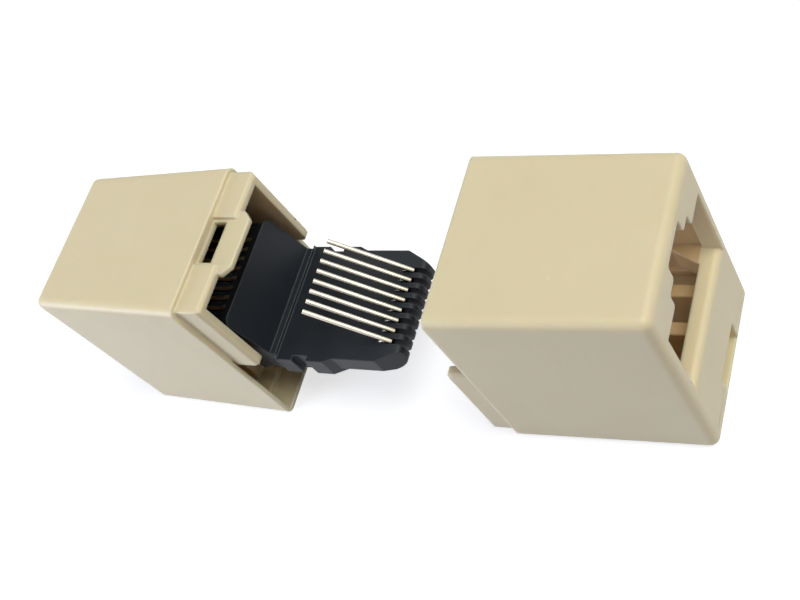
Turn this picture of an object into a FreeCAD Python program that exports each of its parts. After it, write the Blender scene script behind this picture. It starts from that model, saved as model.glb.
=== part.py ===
"""RJ45 inline coupler, pulled apart: two identical snap-together housing halves, one contact
carrier seated in the left half, and eight contact wires bent round the carrier.

Frame: millimetres, +Z up, +X along the insertion axis from the left half to the right half.
The origin lies on the resting surface, midway between the two halves.

A half is modelled in a frame of its own: x = 0 on its shoulder, the plane where the two halves
meet, x = body_length on its jack face, and its contact side down. The carrier's own frame has
its origin at the carrier's centre, on the shoulder plane and at half the height.
"""
import FreeCAD, Part
import math
import os
import Sketcher
from FreeCAD import Placement, Rotation, Vector

HALF_TURN = 180  # degrees
OCTAGON_CORNER = math.tan(math.pi / 8)  # half a side of an octagon, over its half width

doc = FreeCAD.newDocument("inline_coupler")

# Driving dimensions in millimetres and degrees: alias, value, meaning.
DIMENSIONS = [
    ("body_length", 17.15, "one half, from its shoulder to its jack face"),
    ("body_width", 15.4, "width across the shoulder"),
    ("jack_width", 14.3, "width across the jack face, less by the mould draft"),
    ("body_height", 20.0, "height of the halves"),
    ("pull_gap", 24.5, "distance between the two shoulders as shown"),
    ("edge_radius", 0.8, "rounding of the long edges and of the jack face"),
    ("cavity_width", 12.6, "clear width inside a half"),
    ("contact_wall", 1.3, "wall on the contact side"),
    ("latch_wall", 1.1, "wall on the latch side"),
    ("bezel", 1.5, "thickness of the wall that the jack opening pierces"),
    ("jack_opening", 12.0, "width of the jack opening"),
    ("floor_drop", 0.15, "distance from the plate's plug side down to the opening's floor"),
    ("opening_height", 7.4, "height of the jack opening's main part"),
    ("latch_step_width", 6.6, "width of the first step above the opening"),
    ("latch_step_height", 1.3, "height of the first step"),
    ("latch_slot_width", 3.8, "width of the slot for the latch finger"),
    ("latch_slot_height", 1.5, "height of that slot above the first step"),
    ("step_round", 0.3, "rounding of the steps above the opening"),
    ("floor_round", 0.6, "lead-in rounding of the opening's floor"),
    ("fit", 0.08, "clearance between a lip and the wall that receives it"),
    ("lip_inset", 0.5, "step from the outside of a half to its lip"),
    ("lip_length", 2.6, "how far the lip stands out of the shoulder"),
    ("lip_overlap", 0.45, "how far the lip passes half the height"),
    ("lip_corner", 0.6, "rounding of the lip's two end corners"),
    ("lip_lead_in", 0.25, "lead-in chamfer round the end of the lip"),
    ("pad_recess_width", 4.8, "width of the recess between the lip's two pads"),
    ("pad_recess_depth", 0.3, "depth of that recess"),
    ("tongue_width", 6.4, "width of the snap tongue's bar"),
    ("tongue_length", 3.9, "how far the bar stands out of the shoulder"),
    ("tongue_chamfer", 0.8, "chamfer of the bar's two end corners"),
    ("window_width", 4.15, "width of the snap window"),
    ("window_length", 1.45, "length of the snap window"),
    ("window_start", 0.1, "distance from the shoulder to the snap window"),
    ("catch_height", 0.45, "height of the catch that enters the window"),
    ("catch_gap", 0.1, "clearance round the catch in the window"),
    ("catch_crest", 0.4, "flat length on top of the catch"),
    ("rail_width", 1.2, "width of a plug guide rail"),
    ("rail_start", 4.4, "distance from the shoulder to the guide rails"),
    ("mark_width", 5.0, "width of the shallow pocket in the jack face"),
    ("mark_bottom", 0.5, "lower edge of that pocket"),
    ("mark_top", 2.8, "upper edge of that pocket"),
    ("mark_depth", 0.8, "depth of that pocket"),
    ("line_width", 0.15, "width of the parting line across the jack face"),
    ("line_height", 1.5, "height of that line"),
    ("line_depth", 0.1, "depth of that line"),
    ("seat_gap", 0.05, "clearance between the plate and its side ledges"),
    ("nose_gap", 0.15, "clearance round the plate's nose"),
    ("ledge_width", 1.1, "how far the side ledges stand out of the side walls"),
    ("ledge_height", 0.8, "height of the side ledges"),
    ("ledge_start", 2.8, "distance from the shoulder to the side ledges"),
    ("bead_width", 0.4, "how far the retaining beads stand out of the side walls"),
    ("bead_height", 0.3, "height of the retaining beads"),
    ("bead_stop", 1.2, "distance from the end of the beads to the nose's chamfers"),
    ("rib_width", 1.1, "width of a rib under the plate's nose"),
    ("rib_pitch", 3.4, "distance between the ribs under the plate's nose"),
    ("rib_length", 4.0, "length of those ribs, measured from the bezel"),
    ("plate_thickness", 2.35, "thickness of a carrier plate"),
    ("plate_rise", 1.2, "distance from the carrier's middle plane to a plate"),
    ("plate_width", 12.0, "width of a carrier plate at its root"),
    ("plate_neck_width", 11.2, "width of a carrier plate past its taper"),
    ("nose_end_gap", 0.3, "clearance between a nose's tip and the bezel"),
    ("carrier_slip", 0.65, "how far the carrier is drawn out of its seat as shown"),
    ("nose_width", 8.8, "width of the nose's tip"),
    ("nose_chamfer", 2.3, "length of the chamfers beside the nose"),
    ("nose_top_round", 0.7, "rounding of the nose on the plug side"),
    ("nose_foot_round", 1.1, "rounding of the nose on the wire side"),
    ("taper_start", 7.7, "where the plate starts to narrow"),
    ("taper_end", 8.6, "where the plate has narrowed"),
    ("notch_start", 4.3, "start of the retaining notch in the plate's edge"),
    ("notch_end", 5.9, "end of that notch"),
    ("notch_depth", 0.5, "depth of that notch"),
    ("notch_gap", 0.2, "clearance between the notch and the key in it"),
    ("plate_chamfer", 0.5, "chamfer along the wire side of a plate's neck"),
    ("wall_width", 11.2, "width of the carrier's central wall"),
    ("wall_height", 4.65, "distance from the carrier's middle plane to the wall's ridge"),
    ("wall_top", 0.6, "distance from the wall's middle to its ridge"),
    ("wall_foot", 1.95, "distance from the wall's middle to its foot"),
    ("wall_shoulder", 1.6, "where the wall's sloping top meets the plate"),
    ("foot_bead", 0.6, "width of the bead along the wall's foot"),
    ("foot_bead_height", 0.3, "height of that bead"),
    ("ridge_round", 0.8, "rounding of the ridge's ends"),
    ("wire_count", 8, "number of contact wires"),
    ("wire_pitch", 1.016, "distance between neighbouring wires"),
    ("wire_diameter", 0.42, "diameter of a contact wire"),
    ("wire_gap", 0.05, "clearance between a wire and its channel"),
    ("wire_depth", 0.35, "how deep a wire lies below the wire side of its plate"),
    ("wrap_radius", 0.95, "bend of the wire round the nose, at its middle line"),
    ("wrap_setback", 1.8, "from the nose's tip back to the middle of that bend"),
    ("inner_bend", 0.6, "bend of the wire inside the central wall"),
    ("arm_angle", 38, "slope of the spring arm, in degrees"),
    ("arm_height", 3.7, "distance from the middle plane to the arm's free end"),
    ("slot_length", 1.8, "length of the wire slots in the nose"),
]

sheet = doc.addObject("Spreadsheet::Sheet", "Sizes")
for row, (alias, value, meaning) in enumerate(DIMENSIONS, start=1):
    sheet.set("A%d" % row, meaning)
    sheet.set("B%d" % row, str(value))
    sheet.setAlias("B%d" % row, alias)
doc.recompute()


class Term:
    """A length with its present value and the spreadsheet expression that gives it."""

    def __init__(self, value, text):
        self.value = float(value)
        self.text = text

    def __add__(self, other):
        other = term(other)
        return Term(self.value + other.value, "(%s + %s)" % (self.text, other.text))

    def __sub__(self, other):
        other = term(other)
        return Term(self.value - other.value, "(%s - %s)" % (self.text, other.text))

    def __mul__(self, factor):
        return Term(self.value * factor, "(%s * %s)" % (self.text, repr(factor)))

    def __truediv__(self, divisor):
        divisor = term(divisor)
        return Term(self.value / divisor.value, "(%s / %s)" % (self.text, divisor.text))

    def __neg__(self):
        return Term(-self.value, "(0 - %s)" % self.text)

    def times(self, other):
        return Term(self.value * other.value, "(%s * %s)" % (self.text, other.text))

    def tangent(self):
        """The tangent of an angle given in degrees."""
        return Term(math.tan(math.radians(self.value)), "tan(%s * 1 deg)" % self.text)


def term(number):
    if isinstance(number, Term):
        return number
    return Term(number, repr(float(number)))


def size(alias):
    return Term(sheet.get(alias), "Sizes.%s" % alias)


def bind(feature, name, length):
    """Set a property of a feature and tie it to its expression."""
    length = term(length)
    setattr(feature, name, length.value)
    feature.setExpression(name, length.text)


def recompute(feature):
    doc.recompute()
    if feature.Shape.isNull() or not feature.Shape.isValid():
        raise RuntimeError("no valid shape: " + feature.Label)


def volume_step(body, before, grows, label):
    """A pad has to add volume and a pocket has to take some away."""
    change = body.Shape.Volume - before
    if (change > 1e-6) != grows or abs(change) < 1e-6:
        raise RuntimeError("no effect: " + label)


# ---------------------------------------------------------------------------------------------
# Sketches. A point is a pair of terms; every corner is held by constraints tied to the sheet.
# ---------------------------------------------------------------------------------------------

def new_sketch(body, name, plane, lift=0.0):
    """A sketch on one of the body's own origin planes, lifted along the plane's normal."""
    sketch = body.newObject("Sketcher::SketchObject", name)
    for feature in body.Origin.OriginFeatures:
        if feature.Role == plane:
            sketch.AttachmentSupport = [(feature, "")]
    sketch.MapMode = "FlatFace"
    lift = term(lift)
    sketch.AttachmentOffset = Placement(Vector(0, 0, lift.value), Rotation())
    sketch.setExpression(".AttachmentOffset.Base.z", lift.text)
    return sketch


def hold(sketch, kind, geometry, position, length):
    """Hold one coordinate of a sketch point at a length from the sketch's origin."""
    if abs(length.value) < 1e-9:
        axis = -2 if kind == "DistanceX" else -1
        sketch.addConstraint(Sketcher.Constraint("PointOnObject", geometry, position, axis))
        return
    if length.value < 0:
        length = -length
        rule = Sketcher.Constraint(kind, geometry, position, -1, 1, length.value)
    else:
        rule = Sketcher.Constraint(kind, -1, 1, geometry, position, length.value)
    index = sketch.addConstraint(rule)
    name = "size_%d" % index
    sketch.renameConstraint(index, name)
    sketch.setExpression("Constraints." + name, length.text)


def hold_point(sketch, geometry, position, point):
    hold(sketch, "DistanceX", geometry, position, term(point[0]))
    hold(sketch, "DistanceY", geometry, position, term(point[1]))


def polygon(sketch, points):
    """A closed outline of straight edges."""
    vectors = [Vector(term(x).value, term(y).value, 0) for x, y in points]
    first = sketch.GeometryCount
    count = len(points)
    for i in range(count):
        sketch.addGeometry(Part.LineSegment(vectors[i], vectors[(i + 1) % count]), False)
    for i in range(count):
        following = first + (i + 1) % count
        sketch.addConstraint(Sketcher.Constraint("Coincident", first + i, 2, following, 1))
    for i in range(count):
        hold_point(sketch, first + i, 1, points[i])


def rectangle(sketch, left, right, low, high):
    polygon(sketch, [(left, low), (right, low), (right, high), (left, high)])


def arc_between(before, corner, after, radius):
    """The arc of a bend, with its two tangent points."""
    inward = (before - corner).normalize()
    outward = (after - corner).normalize()
    half_turn = (math.pi - inward.getAngle(outward)) / 2
    start = corner + inward * (radius * math.tan(half_turn))
    end = corner + outward * (radius * math.tan(half_turn))
    middle_line = (inward + outward).normalize()
    centre = corner + middle_line * (radius / math.cos(half_turn))
    middle = centre - middle_line * radius
    return start, Part.Arc(start, middle, end), end


def rounded_path(sketch, points, radii):
    """An open path of straight runs joined by tangent arcs, one radius for each inner corner."""
    vectors = [Vector(term(x).value, term(y).value, 0) for x, y in points]
    run_start = vectors[0]
    previous_arc = None
    for i, radius in enumerate(radii, start=1):
        start, arc, end = arc_between(vectors[i - 1], vectors[i], vectors[i + 1], radius.value)
        run = sketch.addGeometry(Part.LineSegment(run_start, start), False)
        bend = sketch.addGeometry(arc, False)
        ends = {}
        for position in (1, 2):
            place = sketch.getPoint(bend, position)
            ends["start" if place.distanceToPoint(start) < 1e-6 else "end"] = position
        if previous_arc is None:
            hold_point(sketch, run, 1, points[0])
        else:
            sketch.addConstraint(Sketcher.Constraint("Tangent", *previous_arc, run, 1))
        sketch.addConstraint(Sketcher.Constraint("Tangent", run, 2, bend, ends["start"]))
        index = sketch.addConstraint(Sketcher.Constraint("Radius", bend, radius.value))
        sketch.renameConstraint(index, "bend_%d" % i)
        sketch.setExpression("Constraints.bend_%d" % i, radius.text)
        corner = sketch.addGeometry(Part.Point(vectors[i]), True)
        hold_point(sketch, corner, 1, points[i])
        sketch.addConstraint(Sketcher.Constraint("PointOnObject", corner, 1, run))
        if i > 1:
            sketch.addConstraint(Sketcher.Constraint("PointOnObject", last_corner, 1, run))
        previous_arc = (bend, ends["end"])
        last_corner = corner
        run_start = end
    run = sketch.addGeometry(Part.LineSegment(run_start, vectors[-1]), False)
    sketch.addConstraint(Sketcher.Constraint("Tangent", *previous_arc, run, 1))
    sketch.addConstraint(Sketcher.Constraint("PointOnObject", last_corner, 1, run))
    hold_point(sketch, run, 2, points[-1])


# ---------------------------------------------------------------------------------------------
# Features of a body.
# ---------------------------------------------------------------------------------------------

def pad(body, sketch, length, reverse=False, middle=False):
    """A pad along the sketch's normal, against it, or half to each side."""
    before = body.Shape.Volume if body.Tip else 0.0
    feature = body.newObject("PartDesign::Pad", sketch.Name + "_pad")
    feature.Profile = sketch
    bind(feature, "Length", length)
    feature.Reversed = reverse
    feature.Midplane = middle
    sketch.Visibility = False
    recompute(feature)
    volume_step(body, before, True, feature.Name)
    return feature


def pocket(body, sketch, depth, along=False, middle=False):
    """A pocket against the sketch's normal, along it, or half to each side."""
    before = body.Shape.Volume
    feature = body.newObject("PartDesign::Pocket", sketch.Name + "_pocket")
    feature.Profile = sketch
    bind(feature, "Length", depth)
    feature.Reversed = along
    feature.Midplane = middle
    sketch.Visibility = False
    recompute(feature)
    volume_step(body, before, False, feature.Name)
    return feature


def edges_where(feature, test):
    """The names of the edges whose end points and middle all pass a test."""
    names = []
    for number, edge in enumerate(feature.Shape.Edges, start=1):
        points = [vertex.Point for vertex in edge.Vertexes]
        points.append(edge.valueAt((edge.FirstParameter + edge.LastParameter) / 2))
        if all(test(point) for point in points):
            names.append("Edge%d" % number)
    return names


def dress(body, kind, name, test, length):
    """A fillet or a chamfer on the edges that pass a test."""
    base = body.Tip
    names = edges_where(base, test)
    if not names:
        raise RuntimeError("no edges for " + name)
    feature = body.newObject("PartDesign::" + kind, name)
    feature.Base = (base, names)
    bind(feature, "Radius" if kind == "Fillet" else "Size", length)
    recompute(feature)
    return feature


def near(number, length):
    return abs(number - length.value) < 1e-4


def new_body(name, placement):
    body = doc.addObject("PartDesign::Body", name)
    body.Label = name
    body.Placement = placement
    doc.recompute()
    return body


# ---------------------------------------------------------------------------------------------
# Sizes that several pieces share.
# ---------------------------------------------------------------------------------------------

length = size("body_length")
height = size("body_height")
middle = height / 2
half_width = size("body_width") / 2
half_jack = size("jack_width") / 2
half_cavity = size("cavity_width") / 2
fit = size("fit")
bezel_back = length - size("bezel")

plate_top = middle - size("plate_rise")
plate_foot = plate_top - size("plate_thickness")
half_plate = size("plate_width") / 2
half_neck = size("plate_neck_width") / 2
half_nose = size("nose_width") / 2
reach = bezel_back - size("nose_end_gap")
nose_back = reach - size("nose_chamfer")
jack_floor = plate_top - size("floor_drop")
jack_ceiling = jack_floor + size("opening_height")
wires = int(sheet.get("wire_count"))
first_wire = size("wire_pitch") * ((wires - 1) / 2)


# ---------------------------------------------------------------------------------------------
# Housing half.
# ---------------------------------------------------------------------------------------------

def shell(body, name):
    """The drafted block, its rounded edges and the hollow behind the bezel."""
    plan = new_sketch(body, name + "_plan", "XY_Plane")
    polygon(plan, [(0, -half_width), (length, -half_jack), (length, half_jack), (0, half_width)])
    pad(body, plan, height)

    def on_long_edge(point):
        return near(point.z, term(0)) or near(point.z, height)

    def on_jack_face(point):
        return near(point.x, length)

    base = body.Tip
    names = edges_where(base, on_jack_face)
    for number, edge in enumerate(base.Shape.Edges, start=1):
        ends = [vertex.Point for vertex in edge.Vertexes]
        spans = abs(ends[0].x - ends[1].x) > length.value / 2
        if spans and all(on_long_edge(point) for point in ends):
            names.append("Edge%d" % number)
    feature = body.newObject("PartDesign::Fillet", name + "_edges")
    feature.Base = (base, names)
    bind(feature, "Radius", size("edge_radius"))
    recompute(feature)

    hollow = new_sketch(body, name + "_hollow", "YZ_Plane")
    rectangle(hollow, -half_cavity, half_cavity, size("contact_wall"),
              height - size("latch_wall"))
    pocket(body, hollow, bezel_back, along=True)


def jack_face(body, name):
    """The stepped opening for the plug and its latch, and the shallow pocket below it."""
    wide = size("jack_opening") / 2
    step = size("latch_step_width") / 2
    slot = size("latch_slot_width") / 2
    floor = jack_floor
    ceiling = jack_ceiling
    step_top = ceiling + size("latch_step_height")
    slot_top = step_top + size("latch_slot_height")
    opening = new_sketch(body, name + "_opening", "YZ_Plane", length)
    polygon(opening, [
        (-wide, floor), (wide, floor), (wide, ceiling), (step, ceiling), (step, step_top),
        (slot, step_top), (slot, slot_top), (-slot, slot_top), (-slot, step_top),
        (-step, step_top), (-step, ceiling), (-wide, ceiling)])
    pocket(body, opening, size("bezel"))

    def on_step(point):
        corners = ((step, ceiling), (step, step_top), (slot, step_top), (slot, slot_top))
        within = bezel_back.value - point.x < 1e-4
        return within and any(near(abs(point.y), y) and near(point.z, z) for y, z in corners)

    dress(body, "Fillet", name + "_steps", on_step, size("step_round"))
    dress(body, "Fillet", name + "_lead_in",
          lambda point: near(point.x, length) and near(point.z, floor), size("floor_round"))

    half_mark = size("mark_width") / 2
    mark = new_sketch(body, name + "_mark", "YZ_Plane", length)
    rectangle(mark, -half_mark, half_mark, size("mark_bottom"), size("mark_top"))
    pocket(body, mark, size("mark_depth"))

    line_end = half_jack - size("edge_radius") - size("line_width")
    line = new_sketch(body, name + "_line", "YZ_Plane", length)
    rectangle(line, -line_end, line_end, size("line_height"),
              size("line_height") + size("line_width"))
    pocket(body, line, size("line_depth"))


def lip(body, name):
    """The lip round the contact side, its two pads and the tongue with the snap window."""
    inset = size("lip_inset")
    outer = half_width - inset
    top = middle + size("lip_overlap")
    ring = new_sketch(body, name + "_lip", "YZ_Plane")
    polygon(ring, [
        (-outer, inset), (outer, inset), (outer, top), (half_cavity, top),
        (half_cavity, size("contact_wall")), (-half_cavity, size("contact_wall")),
        (-half_cavity, top), (-outer, top)])
    pad(body, ring, size("lip_length"), reverse=True)

    def on_end_corner(point):
        return near(point.x, -size("lip_length")) and near(point.z, top)

    dress(body, "Fillet", name + "_lip_corners", on_end_corner, size("lip_corner"))

    def on_lead_in(point):
        at_tip = near(point.x, -size("lip_length"))
        outside = near(abs(point.y), outer) or near(point.z, inset)
        return at_tip and outside

    dress(body, "Chamfer", name + "_lip_lead_in", on_lead_in, size("lip_lead_in"))

    recess = size("pad_recess_width") / 2
    pads = new_sketch(body, name + "_pads", "XY_Plane", inset)
    rectangle(pads, -size("lip_length"), 0, -recess, recess)
    pocket(body, pads, size("pad_recess_depth"), along=True)

    half_tongue = size("tongue_width") / 2
    tongue_foot = inset + size("pad_recess_depth")
    tongue_tip = -size("tongue_length")
    chamfer = size("tongue_chamfer")
    tongue = new_sketch(body, name + "_tongue", "XY_Plane", tongue_foot)
    polygon(tongue, [
        (0, -half_tongue), (0, half_tongue), (tongue_tip + chamfer, half_tongue),
        (tongue_tip, half_tongue - chamfer), (tongue_tip, chamfer - half_tongue),
        (tongue_tip + chamfer, -half_tongue)])
    pad(body, tongue, size("contact_wall") - tongue_foot)

    half_window = size("window_width") / 2
    window_start = size("window_start")
    window = new_sketch(body, name + "_window", "XY_Plane")
    rectangle(window, -(window_start + size("window_length")), -window_start,
              -half_window, half_window)
    pocket(body, window, size("contact_wall") + fit, along=True)


def socket_for_lip(body, name):
    """The thinned rim that takes the other half's lip, and the catch for its window."""
    inset = size("lip_inset")
    outer = half_width - inset + fit
    low = middle - size("lip_overlap") - fit
    high = height - inset + fit
    recess = size("pad_recess_width") / 2 - fit
    land = high - size("pad_recess_depth")
    rim = new_sketch(body, name + "_rim", "YZ_Plane")
    polygon(rim, [
        (-outer, low), (outer, low), (outer, high), (recess, high), (recess, land),
        (-recess, land), (-recess, high), (-outer, high)])
    pocket(body, rim, size("lip_length") + fit, along=True)

    half_tongue = size("tongue_width") / 2 + fit
    tongue_room = new_sketch(body, name + "_tongue_room", "YZ_Plane")
    rectangle(tongue_room, -half_tongue, half_tongue,
              height - size("latch_wall") - fit, land)
    pocket(body, tongue_room, size("tongue_length") + fit, along=True)

    start = size("window_start") + size("catch_gap")
    end = size("window_start") + size("window_length") - size("catch_gap")
    crest = land - size("catch_height")
    catch = new_sketch(body, name + "_catch", "XZ_Plane")
    polygon(catch, [(start, land), (end - size("catch_crest"), crest), (end, crest), (end, land)])
    pad(body, catch, size("window_width") - size("catch_gap") * 2, middle=True)


def plug_guides(body, name):
    """Two rails under the latch-side wall that guide the plug, behind the bezel."""
    near_side = size("latch_step_width") / 2 + size("catch_gap")
    far_side = near_side + size("rail_width")
    rails = new_sketch(body, name + "_rails", "YZ_Plane", bezel_back)
    for low, high in ((near_side, far_side), (-far_side, -near_side)):
        rectangle(rails, low, high, jack_ceiling, height - size("latch_wall"))
    pad(body, rails, bezel_back - size("rail_start"), reverse=True)


def carrier_seat(body, name):
    """What holds a carrier plate: side ledges, beads, keys, the shelf round its nose, ribs."""
    seat = plate_foot - size("seat_gap")
    ledge_inner = half_cavity - size("ledge_width")
    ledges = new_sketch(body, name + "_ledges", "YZ_Plane", bezel_back)
    for low, high in ((ledge_inner, half_cavity), (-half_cavity, -ledge_inner)):
        rectangle(ledges, low, high, seat - size("ledge_height"), seat)
    pad(body, ledges, bezel_back - size("ledge_start"), reverse=True)

    bead_foot = plate_top + size("seat_gap") * 2
    bead_inner = half_cavity - size("bead_width")
    beads = new_sketch(body, name + "_beads", "YZ_Plane", size("ledge_start"))
    for low, high in ((bead_inner, half_cavity), (-half_cavity, -bead_inner)):
        rectangle(beads, low, high, bead_foot, bead_foot + size("bead_height"))
    pad(body, beads, nose_back - size("bead_stop") - size("ledge_start"))

    gap = size("nose_gap")
    shelf = new_sketch(body, name + "_shelf", "XY_Plane", seat)
    inner_neck = half_neck + gap
    inner_nose = half_nose + gap
    neck_start = size("taper_end") + gap
    for side in (1, -1):
        polygon(shelf, [
            (neck_start, half_cavity * side), (neck_start, inner_neck * side),
            (nose_back + gap, inner_neck * side), (reach + gap, inner_nose * side),
            (bezel_back, inner_nose * side), (bezel_back, half_cavity * side)])
    pad(body, shelf, jack_floor - seat)

    key_start = size("notch_start") + size("notch_gap")
    key_end = size("notch_end") - size("notch_gap") - size("carrier_slip")
    key_inner = half_plate - size("notch_depth") + size("notch_gap")
    keys = new_sketch(body, name + "_keys", "XY_Plane", seat)
    for low, high in ((key_inner, half_cavity), (-half_cavity, -key_inner)):
        rectangle(keys, key_start, key_end, low, high)
    pad(body, keys, jack_floor - seat)

    half_rib = size("rib_width") / 2
    ribs = new_sketch(body, name + "_ribs", "YZ_Plane", bezel_back)
    for place in (-1, 0, 1):
        centre = size("rib_pitch") * place
        rectangle(ribs, centre - half_rib, centre + half_rib, size("contact_wall"),
                  seat - size("seat_gap"))
    pad(body, ribs, size("rib_length"), reverse=True)


def housing_half(name, placement):
    body = new_body(name, placement)
    shell(body, name)
    jack_face(body, name)
    lip(body, name)
    socket_for_lip(body, name)
    plug_guides(body, name)
    carrier_seat(body, name)
    return body


# ---------------------------------------------------------------------------------------------
# Contact carrier: one moulding, the same again when turned half a turn about Y.
# ---------------------------------------------------------------------------------------------

near_face = size("plate_rise")
far_face = near_face + size("plate_thickness")
wire_radius = size("wire_diameter") / 2
channel = wire_radius + size("wire_gap")
wire_line = far_face - size("wire_depth") - wire_radius


def turned(points):
    """The same points after half a turn about Y."""
    return [(-term(x), -term(z)) for x, z in points]


def contact_carrier(name, placement):
    body = new_body(name, placement)
    foot = size("wall_foot")
    bead = size("foot_bead")
    bead_top = near_face - size("foot_bead_height")
    right_side = [
        (size("wall_shoulder"), -far_face), (reach, -far_face), (reach, -near_face),
        (foot + bead + size("seat_gap"), -near_face), (foot + bead, -bead_top),
        (foot, -bead_top + size("seat_gap")), (size("wall_top"), size("wall_height"))]
    profile = new_sketch(body, name + "_profile", "XZ_Plane")
    polygon(profile, right_side + turned(right_side))
    pad(body, profile, size("plate_width") + fit * 2, middle=True)

    outside = half_plate + fit * 2
    half_wall = size("wall_width") / 2
    notch = half_plate - size("notch_depth")
    beyond = reach + fit
    edge = [
        (beyond, half_nose), (reach, half_nose), (nose_back, half_neck),
        (size("taper_end"), half_neck),
        (size("taper_start"), half_plate), (size("notch_end"), half_plate),
        (size("notch_end"), notch), (size("notch_start"), notch),
        (size("notch_start"), half_plate), (foot + bead, half_plate),
        (foot + bead, half_wall)]
    far_edge = [(-x, y) for x, y in reversed(edge)]
    plan = new_sketch(body, name + "_plan", "XY_Plane")
    for side in (1, -1):
        border = [(beyond, outside)] + edge + far_edge + [(-beyond, outside)]
        polygon(plan, [(x, y * side) for x, y in border])
    pocket(body, plan, size("wall_height") * 2 + fit * 2, middle=True)

    def neck_edge(point):
        past_taper = abs(point.x) > size("taper_start").value
        return past_taper and near(abs(point.y), half_neck) and near(abs(point.z), far_face)

    dress(body, "Chamfer", name + "_neck_edges", neck_edge, size("plate_chamfer"))

    def nose_edge(point, level):
        return near(abs(point.x), reach) and near(point.z * (1 if point.x < 0 else -1), level)

    dress(body, "Fillet", name + "_nose_top", lambda point: nose_edge(point, near_face),
          size("nose_top_round"))
    dress(body, "Fillet", name + "_nose_foot", lambda point: nose_edge(point, far_face),
          size("nose_foot_round"))

    def ridge_end(point):
        on_side = near(abs(point.y), half_wall)
        within = abs(point.x) < size("wall_foot").value
        return on_side and within and abs(point.z) > far_face.value - 1e-4

    dress(body, "Fillet", name + "_ridge_ends", ridge_end, size("ridge_round"))

    inner = channel
    bend = size("inner_bend") + size("wire_gap") * 2
    tip = reach + fit
    slot_back = reach - size("slot_length")
    open_side = far_face + size("wire_gap")
    right_run = [
        (-inner, -open_side), (tip, -open_side), (tip, -near_face + fit),
        (slot_back, -near_face + fit), (slot_back, -wire_line + channel),
        (bend, -wire_line + channel), (inner, -wire_line + bend)]
    run = new_sketch(body, name + "_channel", "XZ_Plane", first_wire)
    polygon(run, right_run + turned(right_run))
    first = pocket(body, run, channel * 2, middle=True)

    pattern = body.newObject("PartDesign::LinearPattern", name + "_channels")
    pattern.Originals = [first]
    pattern.Direction = (run, ["N_Axis"])
    pattern.Reversed = True
    bind(pattern, "Length", first_wire * 2)
    pattern.setExpression("Occurrences", "Sizes.wire_count")
    before = body.Shape.Volume
    body.Tip = pattern
    recompute(pattern)
    volume_step(body, before, False, pattern.Name)
    return body


# ---------------------------------------------------------------------------------------------
# Contact wires: a spring arm at each end, bent round the noses and through the central wall.
# ---------------------------------------------------------------------------------------------

def contact_wire(name, placement):
    body = new_body(name, placement)
    wrap = size("wrap_radius")
    turn = (term(HALF_TURN) - size("arm_angle")) / 2
    corner = reach - size("wrap_setback") + wrap.times(turn.tangent())
    arm_run = (wire_line + size("arm_height")) / size("arm_angle").tangent()
    tip = (corner - arm_run, size("arm_height"))
    right_end = [tip, (corner, -wire_line), (term(0), -wire_line)]
    left_end = list(reversed(turned(right_end)))
    path = new_sketch(body, name + "_path", "XZ_Plane")
    bends = [wrap, size("inner_bend"), size("inner_bend"), wrap]
    rounded_path(path, right_end + left_end, bends)

    ring = body.newObject("Sketcher::SketchObject", name + "_ring")
    for feature in body.Origin.OriginFeatures:
        if feature.Role == "YZ_Plane":
            ring.AttachmentSupport = [(feature, "")]
    ring.MapMode = "FlatFace"
    ring.AttachmentOffset = Placement(Vector(0, tip[1].value, tip[0].value),
                                      Rotation(Vector(1, 0, 0), sheet.get("arm_angle")))
    ring.setExpression(".AttachmentOffset.Base.y", tip[1].text)
    ring.setExpression(".AttachmentOffset.Base.z", tip[0].text)
    ring.setExpression(".AttachmentOffset.Rotation.Angle", "Sizes.arm_angle * 1 deg")
    flat = wire_radius
    corner_offset = wire_radius * OCTAGON_CORNER
    quarter = [(flat, corner_offset), (corner_offset, flat)]
    mirrored = [(-x, y) for x, y in reversed(quarter)]
    upper = quarter + mirrored
    polygon(ring, upper + [(-x, -y) for x, y in upper])
    doc.recompute()

    pipe = body.newObject("PartDesign::AdditivePipe", name + "_pipe")
    pipe.Profile = ring
    pipe.Spine = (path, [])
    recompute(pipe)
    section = 8 * OCTAGON_CORNER * wire_radius.value ** 2
    expected = section * path.Shape.Length
    if abs(body.Shape.Volume - expected) > expected * 0.01:
        raise RuntimeError("the wire's volume is not its section times its length")
    return body


# ---------------------------------------------------------------------------------------------
# The assembly: left half turned half a turn about Y, right half as drawn, both on the surface.
# ---------------------------------------------------------------------------------------------

half_gap = size("pull_gap").value / 2
carrier_place = size("carrier_slip").value - half_gap
turn_about_y = Rotation(Vector(0, 1, 0), HALF_TURN)
sub_parts = [
    housing_half("left_housing", Placement(Vector(-half_gap, 0, height.value), turn_about_y)),
    housing_half("right_housing", Placement(Vector(half_gap, 0, 0), Rotation())),
    contact_carrier("contact_carrier",
                    Placement(Vector(carrier_place, 0, middle.value), Rotation())),
]
for number in range(wires):
    across = first_wire.value - number * size("wire_pitch").value
    place = Placement(Vector(carrier_place, across, middle.value), Rotation())
    sub_parts.append(contact_wire("contact_wire_%d" % (number + 1), place))

doc.recompute()
for thing in doc.Objects:
    if "Invalid" in thing.State or "Error" in thing.State:
        raise RuntimeError("failed: " + thing.Name)
for sub_part in sub_parts:
    shape = sub_part.Shape
    if shape.isNull() or not shape.isValid() or len(shape.Solids) != 1:
        raise RuntimeError("not one valid solid: " + sub_part.Label)

os.makedirs("parts", exist_ok=True)
for sub_part in sub_parts:
    sub_part.Shape.exportStep("parts/%s.step" % sub_part.Label)
    box = sub_part.Shape.BoundBox
    print("%-18s %8.2f mm3  x %7.2f %7.2f  y %6.2f %6.2f  z %6.2f %6.2f" % (
        sub_part.Label, sub_part.Shape.Volume, box.XMin, box.XMax, box.YMin, box.YMax,
        box.ZMin, box.ZMax))
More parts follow.
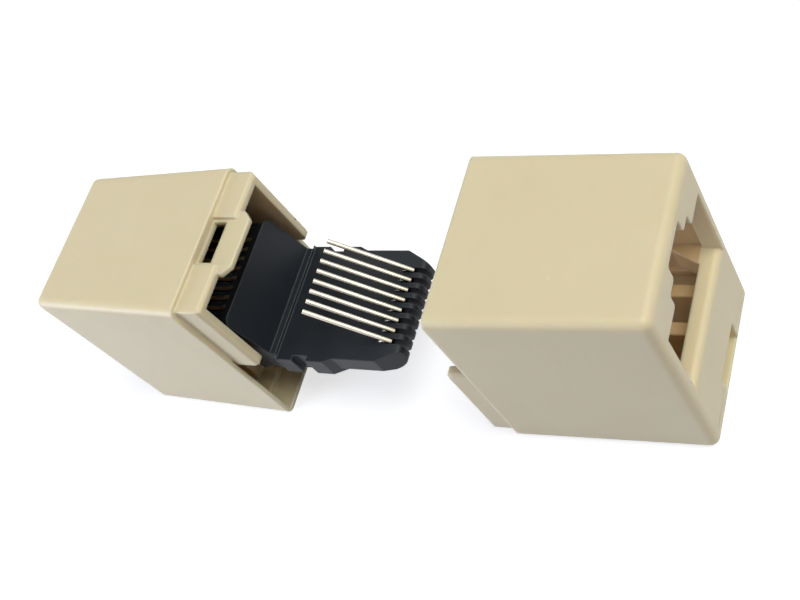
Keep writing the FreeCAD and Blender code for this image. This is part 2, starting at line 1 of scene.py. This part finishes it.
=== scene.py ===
"""Looks of a pulled-apart RJ45 inline coupler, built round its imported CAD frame.

Two ivory housing halves keep their CAD shape and get moulded plastic, the black contact
carrier gets fine satin plastic, and eight round contact wires stand for the plain CAD ones.
Everything is in metres in the frame of the CAD part: +X runs from the left half to the right
half, +Y to the back, +Z up, with the origin on the resting surface.
"""

import math

import bpy
from bpy.props import FloatProperty, FloatVectorProperty, IntProperty, PointerProperty
from mathutils import Matrix, Vector


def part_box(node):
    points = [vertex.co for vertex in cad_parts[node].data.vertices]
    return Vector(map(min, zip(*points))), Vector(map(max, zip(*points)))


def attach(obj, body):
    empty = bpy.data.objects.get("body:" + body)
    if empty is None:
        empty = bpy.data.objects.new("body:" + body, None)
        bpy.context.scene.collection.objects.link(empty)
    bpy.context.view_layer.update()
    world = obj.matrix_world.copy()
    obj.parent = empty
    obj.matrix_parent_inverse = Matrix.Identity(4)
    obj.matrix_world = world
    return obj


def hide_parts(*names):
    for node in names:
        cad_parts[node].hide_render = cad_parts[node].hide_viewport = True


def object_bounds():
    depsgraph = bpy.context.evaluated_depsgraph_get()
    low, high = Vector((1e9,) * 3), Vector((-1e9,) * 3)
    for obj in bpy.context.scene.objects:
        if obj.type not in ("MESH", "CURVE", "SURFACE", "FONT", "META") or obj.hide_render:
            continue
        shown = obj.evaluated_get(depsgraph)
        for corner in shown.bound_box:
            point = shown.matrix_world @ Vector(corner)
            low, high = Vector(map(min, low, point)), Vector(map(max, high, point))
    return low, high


bl_info = {
    "name": "Inline coupler looks",
    "version": (1, 0, 0),
    "blender": (4, 5, 0),
    "location": "View3D > Sidebar > Coupler",
    "description": "Finishes, contact wires and studio for a pulled-apart inline coupler",
    "category": "Object",
}

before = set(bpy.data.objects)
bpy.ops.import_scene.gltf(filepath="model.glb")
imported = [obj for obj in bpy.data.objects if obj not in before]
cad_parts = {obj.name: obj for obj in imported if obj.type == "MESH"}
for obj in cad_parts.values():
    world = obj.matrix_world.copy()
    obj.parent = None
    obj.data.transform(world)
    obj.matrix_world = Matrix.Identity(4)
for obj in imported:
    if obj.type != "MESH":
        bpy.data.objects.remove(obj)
CAD_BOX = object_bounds()
MM = 0.001
HOUSINGS = ("left_housing", "right_housing")
CARRIER = "contact_carrier"
WIRES = sorted(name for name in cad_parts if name.startswith("contact_wire_"))

# The place of the speck on the left half's lip.
DARK_SPECK = Vector((-9.65, 6.97, 12.25)) * MM
# The middle of the slow noise, and its values where the shade starts and where it is full.
NOISE_MIDDLE = 0.5
CLOUD_START, CLOUD_FULL = 0.32, 0.68
# Pointiness of a flat face and of a clear ridge.
POINTINESS_FLAT, POINTINESS_RIDGE = 0.49, 0.53
# How open a wire's surroundings are where its painted shade starts and where it is full.
GROOVE_OPEN, GROOVE_DEEP = 0.86, 0.58
# Rays that an edge or hollow mask sends out from each point.
MASK_RAYS = 6
# How far red, green and blue light spread in the ivory, in shares of its depth.
IVORY_SPREAD = (1.0, 0.62, 0.30)
# Corners of a wire are shaded smooth up to the one angle and bevelled past the other.
SMOOTH_ANGLE = math.radians(50)
RIM_ANGLE = math.radians(60)
# Points of a wire nearer than this share of its radius are one point.
WELD_SHARE = 0.001
# Places of the colour sockets of a Mix node, whose names are not unique.
MIX_UNDER, MIX_OVER, MIX_RESULT = 6, 7, 2
WHITE = (1.0, 1.0, 1.0, 1.0)


# ---------------------------------------------------------------------------------------------
# Sizes and colours that a user would change.
# ---------------------------------------------------------------------------------------------

def length(name, description, default):
    return FloatProperty(name=name, description=description, default=default, min=0.0,
                         subtype="DISTANCE", unit="LENGTH", precision=5)


def angle(name, description, degrees):
    return FloatProperty(name=name, description=description, default=math.radians(degrees),
                         subtype="ANGLE", unit="ROTATION")


def colour(name, description, default):
    return FloatVectorProperty(name=name, description=description, default=default, size=3,
                               min=0.0, max=1.0, subtype="COLOR")


def share(name, description, default):
    return FloatProperty(name=name, description=description, default=default, min=0.0, max=1.0,
                         subtype="FACTOR")


def watts(name, description, default):
    return FloatProperty(name=name, description=description, default=default, min=0.0,
                         unit="POWER")


def offset(name, description, default):
    return FloatVectorProperty(name=name, description=description, default=tuple(default),
                               size=3, subtype="TRANSLATION", unit="LENGTH", precision=5)


class CouplerPlastic(bpy.types.PropertyGroup):
    ivory: colour("Ivory", "Colour of the housing halves", (0.715, 0.625, 0.425))
    ivory_shade: colour("Ivory shade", "Colour of the flow clouds in the ivory",
                        (0.68, 0.59, 0.385))
    # Painted highlight: a paler colour laid along the housings' convex edges in place of the
    # light they catch.
    ivory_edge_highlight: colour("Ivory edge", "Paler colour along the moulded edges",
                       (0.84, 0.78, 0.62))
    # Painted shade: a darker, warmer colour laid on the inner faces of the jacks and cavities
    # where near walls keep light out.
    ivory_hollow_shade: colour("Ivory hollow", "Deeper, warmer colour inside the jacks and cavities",
                         (0.59, 0.41, 0.215))
    hollow_reach: length("Hollow reach", "How far a facing wall may be to shade a hollow",
                         26.0 * MM)
    # Bounds of the box inside which the painted shade of the hollows is laid.
    cavity_end: length("Cavity end", "From the middle to just inside a jack's face",
                       27.8 * MM)
    cavity_side: length("Cavity side", "From the middle to just inside a side wall's skin",
                        6.4 * MM)
    cavity_floor: length("Cavity floor", "Height where the deeper colour starts", 1.45 * MM)
    cavity_ceiling: length("Cavity ceiling", "Height where the deeper colour ends",
                           18.85 * MM)
    speck: colour("Dark speck", "Colour of the speck on the left half's lip",
                  (0.02, 0.018, 0.016))
    speck_size: length("Speck size", "Radius of that speck", 0.17 * MM)
    ivory_dust: colour("Ivory dust", "Colour of the dust on the ivory", (0.86, 0.82, 0.70))
    ivory_roughness: share("Ivory roughness", "Satin of the housing halves", 0.42)
    ivory_milkiness: share("Ivory milkiness", "Share of the light that enters the ivory", 0.55)
    ivory_depth: length("Ivory depth", "How far light spreads inside the ivory", 1.1 * MM)
    black: colour("Black", "Colour of the contact carrier", (0.0075, 0.0105, 0.0155))
    black_shade: colour("Black shade", "Colour of the clouds in the black",
                        (0.0095, 0.0125, 0.0175))
    # Painted highlight: a greyer colour laid along the carrier's convex edges in place of the
    # light they catch.
    black_edge_highlight: colour("Black edge", "Greyer colour along the carrier's edges",
                       (0.055, 0.060, 0.070))
    black_dust: colour("Black dust", "Colour of the dust on the black", (0.10, 0.10, 0.10))
    black_roughness: share("Black roughness", "Satin of the contact carrier", 0.48)
    ivory_softness: length("Ivory softness", "Softness of the housings' edges", 0.34 * MM)
    black_softness: length("Black softness", "Softness of the carrier's edges", 0.18 * MM)


class CouplerWires(bpy.types.PropertyGroup):
    diameter: length("Diameter", "Thickness of a contact wire", 0.42 * MM)
    sides: IntProperty(name="Sides", description="Sides of a wire's round section",
                       default=16, min=8, max=48)
    steps: IntProperty(name="Bend steps", description="Steps in each bend of a wire",
                       default=14, min=4, max=64)
    wrap_radius: length("Wrap radius", "Bend round the carrier's nose", 0.95 * MM)
    inner_bend: length("Inner bend", "Bend inside the carrier's wall", 0.6 * MM)
    arm_angle: angle("Arm angle", "Slope of the spring arms", 38.0)
    run_height: length("Run height", "From the middle plane to a straight run", 2.99 * MM)
    arm_height: length("Arm height", "From the middle plane to the end of a spring arm",
                       3.7 * MM)
    tip_bevel: length("Tip bevel", "Burr-free edge of the cut ends", 0.05 * MM)
    metal: colour("Metal", "Colour of the plated wires", (0.62, 0.575, 0.475))
    metal_worn: colour("Worn metal", "Colour where the plating is thin",
                       (0.47, 0.43, 0.35))
    # Painted shade: the wires are darkened where the carrier's groove walls close round them.
    metal_groove_shade: colour("Dark metal", "Dull colour of the wires deep in the carrier's grooves",
                       (0.012, 0.011, 0.010))
    groove_reach: length("Groove reach", "How near a groove's walls are where a wire is dull",
                         1.4 * MM)
    roughness: share("Roughness", "Polish of the wires", 0.34)


class CouplerStage(bpy.types.PropertyGroup):
    floor_size: length("Floor size", "Side of the studio floor", 1.2)
    floor_colour: colour("Floor colour", "Pale colour of the floor", (0.50, 0.505, 0.54))
    floor_glow: share("Floor glow", "White that only the camera and reflections see", 0.68)
    azimuth: angle("Azimuth", "Direction of the camera round the object", -37.877)
    elevation: angle("Elevation", "Height of the camera over the horizon", 48.34)
    roll: angle("Roll", "Turn of the camera about its own axis", 42.217)
    distance: length("Distance", "Distance from the camera to its aim", 96.73 * MM)
    aim: offset("Aim", "What the camera looks at, from the object's middle",
                Vector((2.965, -0.16, 0.0)) * MM)
    lens: FloatProperty(name="Lens", description="Focal length in millimetres", default=50.44,
                        unit="CAMERA")
    key_place: offset("Key place", "Overhead lamp, from the object's middle",
                      (0.19, 0.03, 0.39))
    key_size: length("Key size", "Width of the overhead lamp", 0.34)
    key_power: watts("Key power", "Power of the overhead lamp", 1.74)
    key_tint: colour("Key tint", "Colour of the overhead lamp", (1.0, 0.995, 0.92))
    fill_place: offset("Fill place", "Front lamp, from the object's middle",
                       (-0.14, -0.12, 0.05))
    fill_size: length("Fill size", "Width of the front lamp", 0.10)
    fill_power: watts("Fill power", "Power of the front lamp", 0.22)
    fill_tint: colour("Fill tint", "Colour of the front lamp", (0.78, 0.83, 1.0))
    room_tint: colour("Room tint", "Colour of the light from all round", (0.9, 0.95, 1.0))
    room_light: share("Room light", "Strength of the light from all round", 0.11)


# ---------------------------------------------------------------------------------------------
# Node helpers. They take sockets or plain values, and all but node() give back one socket.
# ---------------------------------------------------------------------------------------------

def node(tree, kind, links=None, **settings):
    """A node with its settings; links maps its inputs to sockets or plain values."""
    made = tree.nodes.new(kind)
    for key, value in settings.items():
        setattr(made, key, value)
    for key, value in (links or {}).items():
        if isinstance(value, bpy.types.NodeSocket):
            tree.links.new(value, made.inputs[key])
        else:
            made.inputs[key].default_value = value
    return made


def maths(tree, operation, *values, clamp=False):
    """One sum on the values."""
    return node(tree, "ShaderNodeMath", dict(enumerate(values)), operation=operation,
                use_clamp=clamp).outputs[0]


def ramp(tree, value, start, full, top=1.0):
    """0 up to the start, then rising to the top at full; full may be below the start."""
    return node(tree, "ShaderNodeMapRange", {
        "Value": value, "From Min": start, "From Max": full, "To Max": top}).outputs[0]


def blend(tree, mask, under, over):
    """The colour over laid on the colour under, as far as the mask goes."""
    return node(tree, "ShaderNodeMix", {0: mask, MIX_UNDER: under, MIX_OVER: over},
                data_type="RGBA").outputs[MIX_RESULT]


def object_place(tree):
    """The shaded point in Object coordinates."""
    return node(tree, "ShaderNodeTexCoord").outputs["Object"]


def openness(tree, reach, only_local):
    """1 in the open, less where walls stand nearer than the reach."""
    return node(tree, "ShaderNodeAmbientOcclusion", {"Distance": reach},
                samples=MASK_RAYS, only_local=only_local).outputs["AO"]


def inside_walls(tree, half_length, half_width, floor, ceiling):
    """1 between the end walls, the side walls, the floor and the ceiling, else 0."""
    parts = node(tree, "ShaderNodeSeparateXYZ", {0: object_place(tree)}).outputs
    middle = (floor + ceiling) / 2
    rise = maths(tree, "SUBTRACT", parts["Z"], middle)
    mask = 1.0
    for distance, limit in ((parts["X"], half_length), (parts["Y"], half_width),
                            (rise, ceiling - middle)):
        within = maths(tree, "LESS_THAN", maths(tree, "ABSOLUTE", distance), limit)
        mask = maths(tree, "MULTIPLY", mask, within)
    return mask


def spot(tree, centre, radius):
    """A small soft round mask at one place."""
    away = node(tree, "ShaderNodeVectorMath", {0: object_place(tree), 1: centre},
                operation="DISTANCE").outputs["Value"]
    return ramp(tree, away, radius, radius / 2)


# ---------------------------------------------------------------------------------------------
# Node groups for the effects, each with named inputs and outputs.
# ---------------------------------------------------------------------------------------------

def new_group(name, inputs, outputs):
    """A shader node group; a socket is (name, type, default)."""
    group = bpy.data.node_groups.new(name, "ShaderNodeTree")
    for side, sockets in (("INPUT", inputs), ("OUTPUT", outputs)):
        for label, kind, default in sockets:
            socket = group.interface.new_socket(label, in_out=side, socket_type=kind)
            if default is not None:
                socket.default_value = default
    entry = group.nodes.new("NodeGroupInput")
    leave = group.nodes.new("NodeGroupOutput")
    return group, entry.outputs, leave.inputs


def clouds_group():
    """Slow colour clouds and fine grain, as in moulded plastic and on drawn wire."""
    group, inside, out = new_group("surface_clouds", [
        ("Colour", "NodeSocketColor", (0.5, 0.5, 0.5, 1.0)),
        ("Shade", "NodeSocketColor", (0.4, 0.4, 0.4, 1.0)),
        ("Cloud Scale", "NodeSocketFloat", 150.0),
        ("Cloud Amount", "NodeSocketFloat", 0.5),
        ("Grain Scale", "NodeSocketFloat", 9000.0),
        ("Stretch", "NodeSocketVector", (1.0, 1.0, 1.0)),
        ("Roughness", "NodeSocketFloat", 0.4),
        ("Roughness Spread", "NodeSocketFloat", 0.1)], [
        ("Colour", "NodeSocketColor", None),
        ("Roughness", "NodeSocketFloat", None),
        ("Grain", "NodeSocketFloat", None)])
    stretched = node(group, "ShaderNodeVectorMath", {
        0: object_place(group), 1: inside["Stretch"]}, operation="MULTIPLY").outputs[0]
    cloud = node(group, "ShaderNodeTexNoise", {
        "Vector": stretched, "Scale": inside["Cloud Scale"], "Detail": 3.0,
        "Roughness": 0.55, "Distortion": 0.4}).outputs["Fac"]
    spread = ramp(group, cloud, CLOUD_START, CLOUD_FULL)
    amount = maths(group, "MULTIPLY", spread, inside["Cloud Amount"])
    mixed = blend(group, amount, inside["Colour"], inside["Shade"])
    grain = node(group, "ShaderNodeTexNoise", {
        "Vector": stretched, "Scale": inside["Grain Scale"], "Detail": 2.0,
        "Roughness": 0.5}).outputs["Fac"]
    signed = maths(group, "SUBTRACT", cloud, NOISE_MIDDLE)
    rough = maths(group, "MULTIPLY_ADD", signed, inside["Roughness Spread"],
                  inside["Roughness"])
    group.links.new(mixed, out["Colour"])
    group.links.new(rough, out["Roughness"])
    group.links.new(grain, out["Grain"])
    return group


def edge_group():
    """Softened edges: a rounded normal and a mask of the ridges it rounds."""
    group, inside, out = new_group("soft_edges", [
        ("Radius", "NodeSocketFloat", 0.0001),
        ("Mask Strength", "NodeSocketFloat", 4.0)], [
        ("Normal", "NodeSocketVector", None),
        ("Mask", "NodeSocketFloat", None)])
    rounded = node(group, "ShaderNodeBevel", {"Radius": inside["Radius"]},
                   samples=MASK_RAYS).outputs[0]
    shape = node(group, "ShaderNodeNewGeometry").outputs
    agreement = node(group, "ShaderNodeVectorMath", {0: rounded, 1: shape["Normal"]},
                     operation="DOT_PRODUCT").outputs["Value"]
    turned = maths(group, "SUBTRACT", 1.0, agreement)
    convex = ramp(group, shape["Pointiness"], POINTINESS_FLAT, POINTINESS_RIDGE)
    ridge = maths(group, "MULTIPLY", turned, inside["Mask Strength"], clamp=True)
    mask = maths(group, "MULTIPLY", ridge, convex, clamp=True)
    group.links.new(rounded, out["Normal"])
    group.links.new(mask, out["Mask"])
    return group


def hollow_shade_group():
    """A mask of the faces that look onto the piece's own near walls, for the painted shade in
    hollows.
    """
    group, inside, out = new_group("painted_hollow_shade", [
        ("Reach", "NodeSocketFloat", 0.004),
        ("Open", "NodeSocketFloat", 0.7),
        ("Deep", "NodeSocketFloat", 0.3)], [
        ("Mask", "NodeSocketFloat", None)])
    mask = ramp(group, openness(group, inside["Reach"], True), inside["Open"],
                inside["Deep"])
    group.links.new(mask, out["Mask"])
    return group


def specks_group():
    """Sparse dust specks, as a mask."""
    group, inside, out = new_group("dust_specks", [
        ("Scale", "NodeSocketFloat", 900.0),
        ("Share", "NodeSocketFloat", 0.05),
        ("Size", "NodeSocketFloat", 0.12),
        ("Strength", "NodeSocketFloat", 0.5)], [
        ("Mask", "NodeSocketFloat", None)])
    cells = node(group, "ShaderNodeTexVoronoi", {
        "Vector": object_place(group), "Scale": inside["Scale"],
        "Randomness": 1.0}).outputs
    chance = node(group, "ShaderNodeSeparateColor", {0: cells["Color"]}).outputs[0]
    chosen = maths(group, "LESS_THAN", chance, inside["Share"])
    near = ramp(group, cells["Distance"], inside["Size"], 0.0, inside["Strength"])
    mask = maths(group, "MULTIPLY", chosen, near)
    group.links.new(mask, out["Mask"])
    return group


GROUPS = {"surface_clouds": clouds_group, "soft_edges": edge_group,
          "painted_hollow_shade": hollow_shade_group, "dust_specks": specks_group}


def effect(tree, name, values):
    """The outputs of a group placed with its own values; it is built at its first use."""
    group = bpy.data.node_groups.get(name) or GROUPS[name]()
    return node(tree, "ShaderNodeGroup", values, node_tree=group).outputs


# ---------------------------------------------------------------------------------------------
# Materials.
# ---------------------------------------------------------------------------------------------

def rgba(colour_value):
    return (*colour_value, 1.0)


def new_material(name):
    material = bpy.data.materials.new(name)
    material.use_nodes = True
    tree = material.node_tree
    tree.nodes.clear()
    shader = tree.nodes.new("ShaderNodeBsdfPrincipled")
    out = tree.nodes.new("ShaderNodeOutputMaterial")
    tree.links.new(shader.outputs[0], out.inputs["Surface"])
    return material, tree, shader


def cover(thing, material):
    thing.data.materials.clear()
    thing.data.materials.append(material)


def dress(tree, shader, moulding, edge, softness, grain_depth, specks, dust):
    """Sets a plastic's roughness and normal, and gives its cloudy, dusted colour with a
    painted highlight along the edges.
    """
    surface = effect(tree, "surface_clouds", moulding)
    edges = effect(tree, "soft_edges", {"Radius": softness})
    # Painted highlight: the edge colour is laid over the ridges that the soft edges mask
    # finds.
    edge_highlighted = blend(tree, edges["Mask"], surface["Colour"], rgba(edge))
    relief = node(tree, "ShaderNodeBump", {
        "Height": surface["Grain"], "Distance": grain_depth, "Strength": 0.35,
        "Normal": edges["Normal"]})
    tree.links.new(surface["Roughness"], shader.inputs["Roughness"])
    tree.links.new(relief.outputs[0], shader.inputs["Normal"])
    return blend(tree, effect(tree, "dust_specks", specks)["Mask"], edge_highlighted, rgba(dust))


def ivory_plastic(sizes):
    material, tree, shader = new_material("ivory_plastic")
    dusted = dress(
        tree, shader, {
            "Colour": rgba(sizes.ivory), "Shade": rgba(sizes.ivory_shade),
            "Cloud Scale": 110.0, "Cloud Amount": 0.55, "Grain Scale": 7000.0,
            "Stretch": (1.0, 1.0, 0.6), "Roughness": sizes.ivory_roughness,
            "Roughness Spread": 0.12},
        sizes.ivory_edge_highlight, sizes.ivory_softness, 0.02 * MM,
        {"Scale": 420.0, "Share": 0.05, "Size": 0.09, "Strength": 0.35}, sizes.ivory_dust)
    # Painted shade: the hollow colour is laid where near walls close in, inside the cavity
    # box.
    hollow = effect(tree, "painted_hollow_shade", {"Reach": sizes.hollow_reach})["Mask"]
    cavity = inside_walls(tree, sizes.cavity_end, sizes.cavity_side, sizes.cavity_floor,
                          sizes.cavity_ceiling)
    hollow_shaded = blend(tree, maths(tree, "MULTIPLY", hollow, cavity), dusted,
                     rgba(sizes.ivory_hollow_shade))
    marked = blend(tree, spot(tree, DARK_SPECK, sizes.speck_size), hollow_shaded,
                   rgba(sizes.speck))
    tree.links.new(marked, shader.inputs["Base Color"])
    shader.inputs["Subsurface Weight"].default_value = sizes.ivory_milkiness
    shader.inputs["Subsurface Radius"].default_value = IVORY_SPREAD
    shader.inputs["Subsurface Scale"].default_value = sizes.ivory_depth
    shader.inputs["IOR"].default_value = 1.5
    return material


def black_plastic(sizes):
    material, tree, shader = new_material("black_plastic")
    dusted = dress(
        tree, shader, {
            "Colour": rgba(sizes.black), "Shade": rgba(sizes.black_shade),
            "Cloud Scale": 260.0, "Cloud Amount": 0.8, "Grain Scale": 9000.0,
            "Stretch": (1.0, 1.0, 1.0), "Roughness": sizes.black_roughness,
            "Roughness Spread": 0.2},
        sizes.black_edge_highlight, sizes.black_softness, 0.01 * MM,
        {"Scale": 700.0, "Share": 0.06, "Size": 0.12, "Strength": 0.5}, sizes.black_dust)
    tree.links.new(dusted, shader.inputs["Base Color"])
    shader.inputs["Specular IOR Level"].default_value = 0.3
    return material


def contact_metal(sizes):
    material, tree, shader = new_material("contact_metal")
    surface = effect(tree, "surface_clouds", {
        "Colour": rgba(sizes.metal), "Shade": rgba(sizes.metal_worn), "Cloud Scale": 900.0,
        "Cloud Amount": 0.8, "Grain Scale": 14000.0, "Stretch": (0.25, 1.0, 0.25),
        "Roughness": sizes.roughness, "Roughness Spread": 0.35})
    relief = node(tree, "ShaderNodeBump", {
        "Height": surface["Grain"], "Distance": 0.003 * MM, "Strength": 0.2})
    # Painted shade: the wires turn dark where the groove walls stand close, in place of the
    # shadow and dark reflections there.
    groove_shade_mask = ramp(tree, openness(tree, sizes.groove_reach, False), GROOVE_OPEN,
                  GROOVE_DEEP)
    groove_shaded = blend(tree, groove_shade_mask, surface["Colour"], rgba(sizes.metal_groove_shade))
    tree.links.new(groove_shaded, shader.inputs["Base Color"])
    tree.links.new(surface["Roughness"], shader.inputs["Roughness"])
    tree.links.new(relief.outputs[0], shader.inputs["Normal"])
    shader.inputs["Metallic"].default_value = 1.0
    return material


# ---------------------------------------------------------------------------------------------
# Modelling helpers.
# ---------------------------------------------------------------------------------------------

def select_only(thing):
    bpy.ops.object.select_all(action="DESELECT")
    thing.select_set(True)
    bpy.context.view_layer.objects.active = thing


def apply_place(thing):
    """Puts an object's place into its mesh."""
    select_only(thing)
    bpy.ops.object.transform_apply(location=True, rotation=True, scale=True)


# ---------------------------------------------------------------------------------------------
# The operators, one for each group of pieces.
# ---------------------------------------------------------------------------------------------

class COUPLER_OT_housings(bpy.types.Operator):
    """Give the two housing halves their ivory plastic"""
    bl_idname = "coupler.housings"
    bl_label = "Housing halves"

    def execute(self, context):
        plastic = ivory_plastic(context.scene.coupler_plastic)
        for name in HOUSINGS:
            cover(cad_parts[name], plastic)
        return {"FINISHED"}


class COUPLER_OT_carrier(bpy.types.Operator):
    """Give the contact carrier its black plastic"""
    bl_idname = "coupler.carrier"
    bl_label = "Contact carrier"

    def execute(self, context):
        cover(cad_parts[CARRIER], black_plastic(context.scene.coupler_plastic))
        return {"FINISHED"}


class COUPLER_OT_wires(bpy.types.Operator):
    """Draw one round contact wire through its bends and copy it for all eight"""
    bl_idname = "coupler.wires"
    bl_label = "Contact wires"

    def execute(self, context):
        sizes = context.scene.coupler_wires
        low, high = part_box(WIRES[0])
        middle = (low + high) / 2
        first = self.bend_wire(sizes, middle, high.x)
        cover(first, contact_metal(sizes))
        for name in WIRES:
            low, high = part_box(name)
            wire = first
            if name != WIRES[0]:
                select_only(first)
                bpy.ops.object.duplicate(linked=False)
                wire = context.view_layer.objects.active
                bpy.ops.transform.translate(value=(low + high) / 2 - middle)
                apply_place(wire)
            wire.name = name.replace("contact_wire", "round_wire")
            wire.data.name = wire.name
            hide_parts(name)
            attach(wire, "root")
        return {"FINISHED"}

    def bend_wire(self, sizes, middle, reach):
        """Extrudes and spins a round section from the right arm's end to the left arm's.

        It is meant to go round the right nose, along the lower side, up inside the wall,
        along the upper side and round the left nose, as the CAD wire does. Known fault: both
        nose bends turn the wrong way, so past the right arm it leaves that path and cuts into
        the carrier. Their two angles, turn and -turn, need the opposite sign.
        """
        radius = sizes.diameter / 2
        line = sizes.run_height
        wrap = sizes.wrap_radius
        bend = sizes.inner_bend
        wrap_x = reach - middle.x - radius - wrap
        slope = Vector((-math.cos(sizes.arm_angle), 0.0, math.sin(sizes.arm_angle)))
        turn = math.pi - sizes.arm_angle
        arm_start = Vector((wrap_x + wrap * math.sin(turn), 0.0,
                            wrap - line - wrap * math.cos(turn)))
        tip = arm_start + slope * ((sizes.arm_height - arm_start.z) / slope.z)

        bpy.ops.mesh.primitive_circle_add(
            vertices=sizes.sides, radius=radius, fill_type="NGON", location=middle + tip,
            rotation=slope.to_track_quat("Z", "Y").to_euler())
        wire = bpy.context.view_layer.objects.active
        apply_place(wire)
        bpy.ops.object.mode_set(mode="EDIT")
        bpy.ops.mesh.select_all(action="SELECT")

        def at(x, z):
            return Vector((x, 0.0, z))

        def run(start, end):
            bpy.ops.mesh.extrude_region_move(
                TRANSFORM_OT_translate={"value": end - start})

        def spin(centre, swept):
            bpy.ops.mesh.spin(steps=sizes.steps, angle=swept, center=middle + centre,
                              axis=(0.0, 1.0, 0.0))

        run(tip, arm_start)
        spin(at(wrap_x, wrap - line), turn)  # Known fault: turns the wrong way.
        run(at(wrap_x, -line), at(bend, -line))
        spin(at(bend, bend - line), -math.pi / 2)
        run(at(0.0, bend - line), at(0.0, line - bend))
        spin(at(-bend, line - bend), math.pi / 2)
        run(at(-bend, line), at(-wrap_x, line))
        spin(at(-wrap_x, line - wrap), -turn)  # Known fault: turns the wrong way.
        run(-arm_start, -tip)
        bpy.ops.mesh.select_all(action="SELECT")
        bpy.ops.mesh.remove_doubles(threshold=radius * WELD_SHARE)
        bpy.ops.mesh.normals_make_consistent(inside=False)
        bpy.ops.object.mode_set(mode="OBJECT")

        rim = wire.modifiers.new("rim", "BEVEL")
        rim.width = sizes.tip_bevel
        rim.segments = 2
        rim.limit_method = "ANGLE"
        rim.angle_limit = RIM_ANGLE
        select_only(wire)
        bpy.ops.object.modifier_apply(modifier=rim.name)
        bpy.ops.object.shade_smooth_by_angle(angle=SMOOTH_ANGLE)
        return wire


class COUPLER_OT_stage(bpy.types.Operator):
    """Set the pale floor, the soft lamps, the world and the camera"""
    bl_idname = "coupler.stage"
    bl_label = "Studio"

    def execute(self, context):
        sizes = context.scene.coupler_stage
        self.floor(sizes)
        self.world(context.scene, sizes)
        low, high = CAD_BOX
        centre = (low + high) / 2
        self.lamp("key", centre + sizes.key_place, centre, sizes.key_size,
                  sizes.key_power, sizes.key_tint)
        self.lamp("fill", centre + sizes.fill_place, centre, sizes.fill_size,
                  sizes.fill_power, sizes.fill_tint)
        self.camera(context.scene, sizes, centre + sizes.aim)
        context.scene.view_settings.view_transform = "Standard"
        return {"FINISHED"}

    def floor(self, sizes):
        bpy.ops.mesh.primitive_plane_add(size=sizes.floor_size, location=(0.0, 0.0, 0.0))
        floor = bpy.context.view_layer.objects.active
        floor.name = "floor"
        material, tree, shader = new_material("studio_floor")
        shader.inputs["Base Color"].default_value = rgba(sizes.floor_colour)
        shader.inputs["Roughness"].default_value = 0.9
        shader.inputs["Emission Color"].default_value = WHITE
        glow = maths(tree, "MULTIPLY", self.looking_rays(tree), sizes.floor_glow)
        tree.links.new(glow, shader.inputs["Emission Strength"])
        cover(floor, material)

    def looking_rays(self, tree):
        """1 for the rays that show the backdrop, 0 for those that light the object."""
        rays = tree.nodes.new("ShaderNodeLightPath").outputs
        mirrored = maths(tree, "MAXIMUM", rays["Is Glossy Ray"], rays["Is Transmission Ray"])
        return maths(tree, "MAXIMUM", rays["Is Camera Ray"], mirrored)

    def world(self, scene, sizes):
        world = bpy.data.worlds.new("studio_world")
        world.use_nodes = True
        tree = world.node_tree
        tree.nodes.clear()
        lit = node(tree, "ShaderNodeBackground", {
            "Color": rgba(sizes.room_tint), "Strength": sizes.room_light})
        seen = node(tree, "ShaderNodeBackground", {"Color": WHITE, "Strength": 1.0})
        mixed = node(tree, "ShaderNodeMixShader", {
            0: self.looking_rays(tree), 1: lit.outputs[0], 2: seen.outputs[0]})
        out = tree.nodes.new("ShaderNodeOutputWorld")
        tree.links.new(mixed.outputs[0], out.inputs["Surface"])
        scene.world = world

    def lamp(self, name, place, target, size, power, tint):
        bpy.ops.object.light_add(type="AREA", location=place)
        lamp = bpy.context.view_layer.objects.active
        lamp.name = name
        lamp.rotation_euler = (target - place).to_track_quat("-Z", "Y").to_euler()
        lamp.data.shape = "DISK"
        lamp.data.size = size
        lamp.data.energy = power
        lamp.data.color = tint

    def camera(self, scene, sizes, aim):
        back = Vector((math.cos(sizes.azimuth) * math.cos(sizes.elevation),
                       math.sin(sizes.azimuth) * math.cos(sizes.elevation),
                       math.sin(sizes.elevation)))
        level = back.to_track_quat("Z", "Y").to_matrix()
        turn = Matrix.Rotation(-sizes.roll, 3, "Z")
        bpy.ops.object.camera_add(location=aim + back * sizes.distance,
                                  rotation=(level @ turn).to_euler())
        camera = bpy.context.view_layer.objects.active
        camera.name = "camera"
        camera.data.lens = sizes.lens
        camera.data.clip_start = 0.005
        scene.camera = camera


class COUPLER_PT_panel(bpy.types.Panel):
    """Sizes, colours and build steps of the coupler"""
    bl_idname = "COUPLER_PT_panel"
    bl_label = "Inline coupler"
    bl_space_type = "VIEW_3D"
    bl_region_type = "UI"
    bl_category = "Coupler"

    def draw(self, context):
        for title, settings, steps in (
                ("Plastic", context.scene.coupler_plastic, ("housings", "carrier")),
                ("Wires", context.scene.coupler_wires, ("wires",)),
                ("Studio", context.scene.coupler_stage, ("stage",))):
            box = self.layout.box()
            box.label(text=title)
            for key in settings.__annotations__:
                box.prop(settings, key)
            for step in steps:
                box.operator("coupler." + step)


CLASSES = (CouplerPlastic, CouplerWires, CouplerStage, COUPLER_OT_housings,
           COUPLER_OT_carrier, COUPLER_OT_wires, COUPLER_OT_stage, COUPLER_PT_panel)


def register():
    for item in CLASSES:
        bpy.utils.register_class(item)
    bpy.types.Scene.coupler_plastic = PointerProperty(type=CouplerPlastic)
    bpy.types.Scene.coupler_wires = PointerProperty(type=CouplerWires)
    bpy.types.Scene.coupler_stage = PointerProperty(type=CouplerStage)


def unregister():
    del bpy.types.Scene.coupler_stage
    del bpy.types.Scene.coupler_wires
    del bpy.types.Scene.coupler_plastic
    for item in reversed(CLASSES):
        bpy.utils.unregister_class(item)


def main():
    register()
    bpy.ops.coupler.housings()
    bpy.ops.coupler.carrier()
    bpy.ops.coupler.wires()
    bpy.ops.coupler.stage()


if __name__ == "__main__":
    main()
